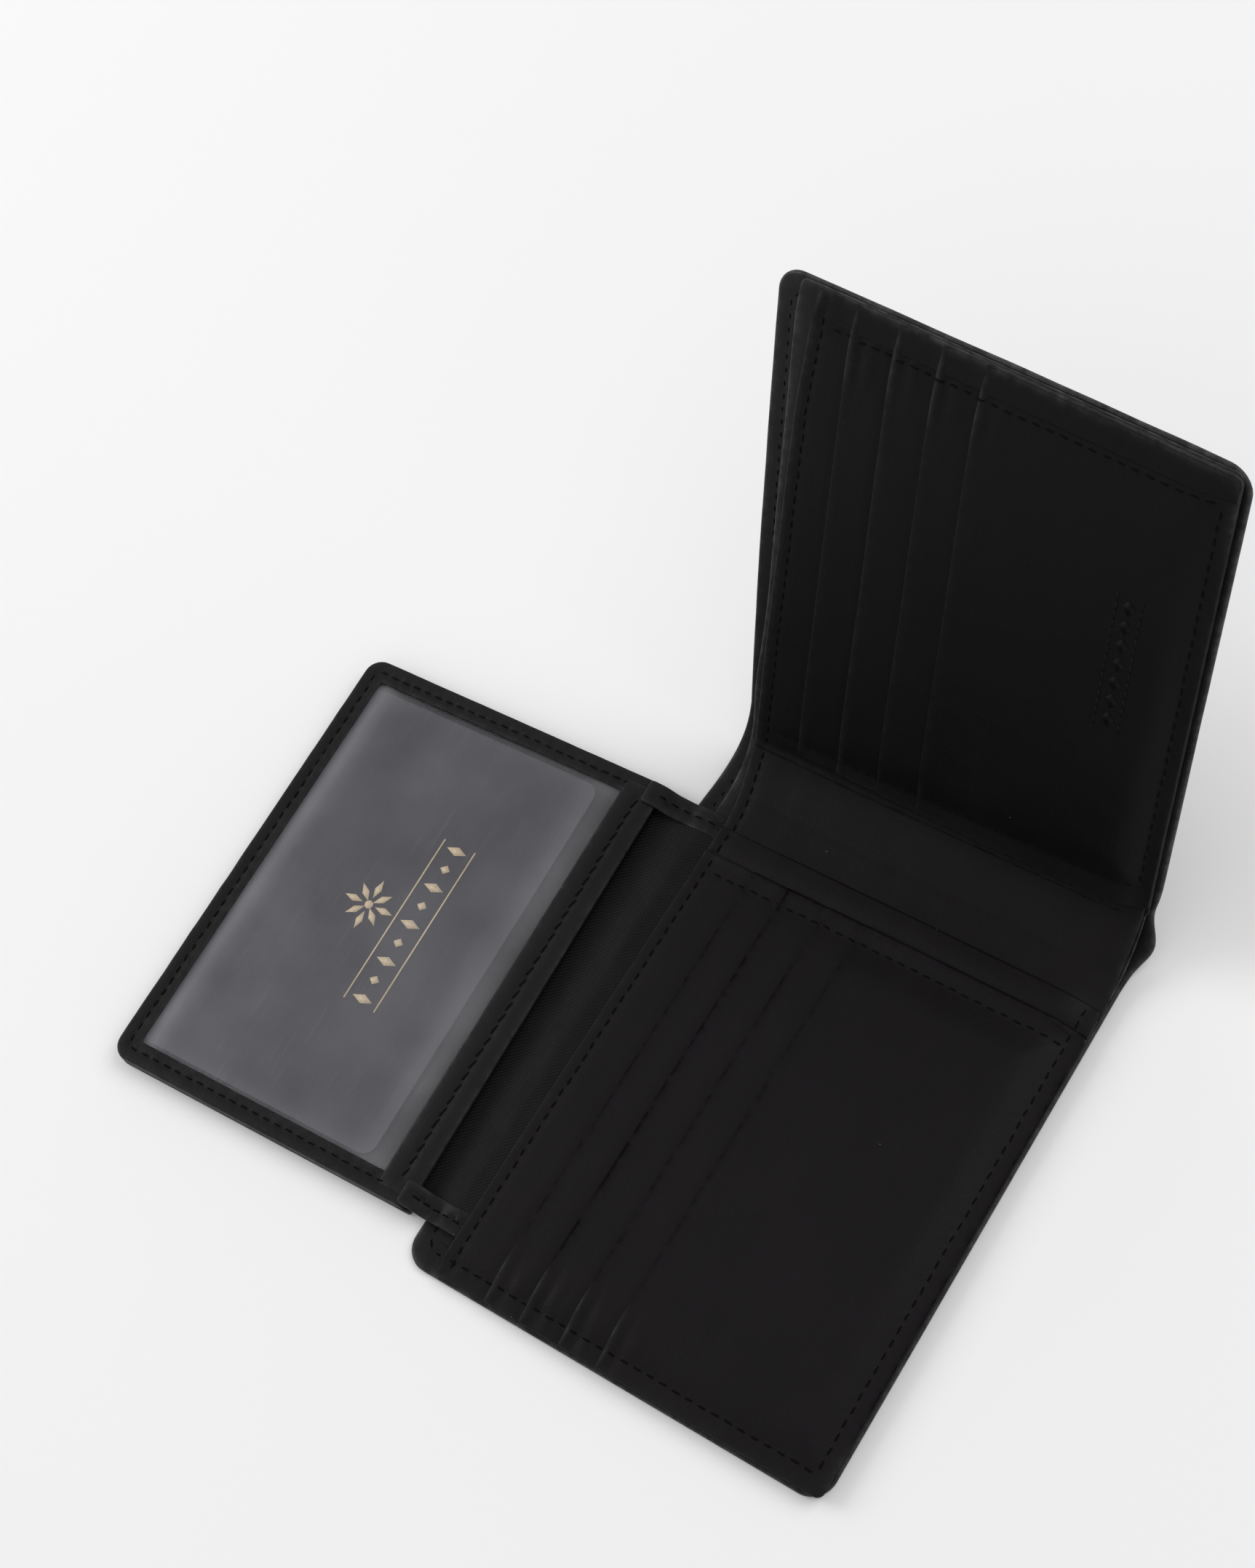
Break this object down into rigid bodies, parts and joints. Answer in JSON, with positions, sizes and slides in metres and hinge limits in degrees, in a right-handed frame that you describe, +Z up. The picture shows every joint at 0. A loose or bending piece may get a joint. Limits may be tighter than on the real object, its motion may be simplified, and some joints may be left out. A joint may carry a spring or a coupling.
{
  "type": "wallet",
  "caption": "Open leather billfold with card slots on both inner panels and a hinged fold-out card flap with a clear window",
  "frame": {"origin": "bottom centre of the outline as the wallet stands open", "axes": "+X along the spine fold away from the flap, +Y from the lower panel's free edge to the spine, +Z up"},
  "size_m": [0.1686, 0.166, 0.1087],
  "materials": {
    "outer_leather": "smooth black leather with a fine grain",
    "panel_leather": "smooth black leather, lightly creased",
    "flap_leather": "smooth black leather strip, stitched",
    "lining_cloth": "black lining cloth",
    "hinge_twill": "black twill",
    "clear_film": "clear soft plastic film",
    "card_print": "slate grey printed card"
  },
  "bodies": {
    "lower_panel": {"shell_lower": "outer_leather", "shell_lining_lower": "lining_cloth", "bill_divider_lower": "lining_cloth", "inner_back_lower": "panel_leather", "card_pocket_lower_1": "panel_leather", "card_pocket_lower_2": "panel_leather", "card_pocket_lower_3": "panel_leather", "card_pocket_lower_4": "panel_leather", "spine_strip_lower": "panel_leather"},
    "spine": {"spine_shell": "outer_leather", "spine_shell_lining": "lining_cloth", "spine_lining": "panel_leather", "shell_bend": "outer_leather"},
    "upper_panel": {"shell_upper": "outer_leather", "shell_lining_upper": "lining_cloth", "bill_divider_upper": "lining_cloth", "inner_back_upper": "panel_leather", "card_pocket_upper_1": "panel_leather", "card_pocket_upper_2": "panel_leather", "card_pocket_upper_3": "panel_leather", "card_pocket_upper_4": "panel_leather"},
    "card_flap": {"flap_back": "outer_leather", "flap_lining": "lining_cloth", "flap_frame": "flap_leather", "mouth_strip": "flap_leather", "window_film": "clear_film", "hinge_strip": "hinge_twill", "hinge_tape_front": "flap_leather", "hinge_tape_back": "flap_leather"},
    "card": {"insert_card": "card_print"}
  },
  "joints": [
    {"name": "lower_crease", "type": "hinge", "parent": "lower_panel", "child": "spine", "pos_m": [0.00111, 0.02525, 0.0065], "axis": [1, 0, 0], "range_deg": [0, 88]},
    {"name": "upper_crease", "type": "hinge", "parent": "spine", "child": "upper_panel", "pos_m": [0.00111, 0.03585, 0.00965], "axis": [1, 0, 0], "range_deg": [-65, 20], "deforming": ["shell_bend"]},
    {"name": "flap_hinge", "type": "hinge", "parent": "lower_panel", "child": "card_flap", "pos_m": [-0.00189, -0.02645, 0.0056], "axis": [0, 1, 0], "range_deg": [0, 180], "deforming": ["hinge_strip", "hinge_tape_front", "hinge_tape_back"]},
    {"name": "card_slide", "type": "slide", "parent": "card_flap", "child": "card", "axis": [0.9995, 0.0332, 0], "range_m": [0, 0.016]}
  ]
}
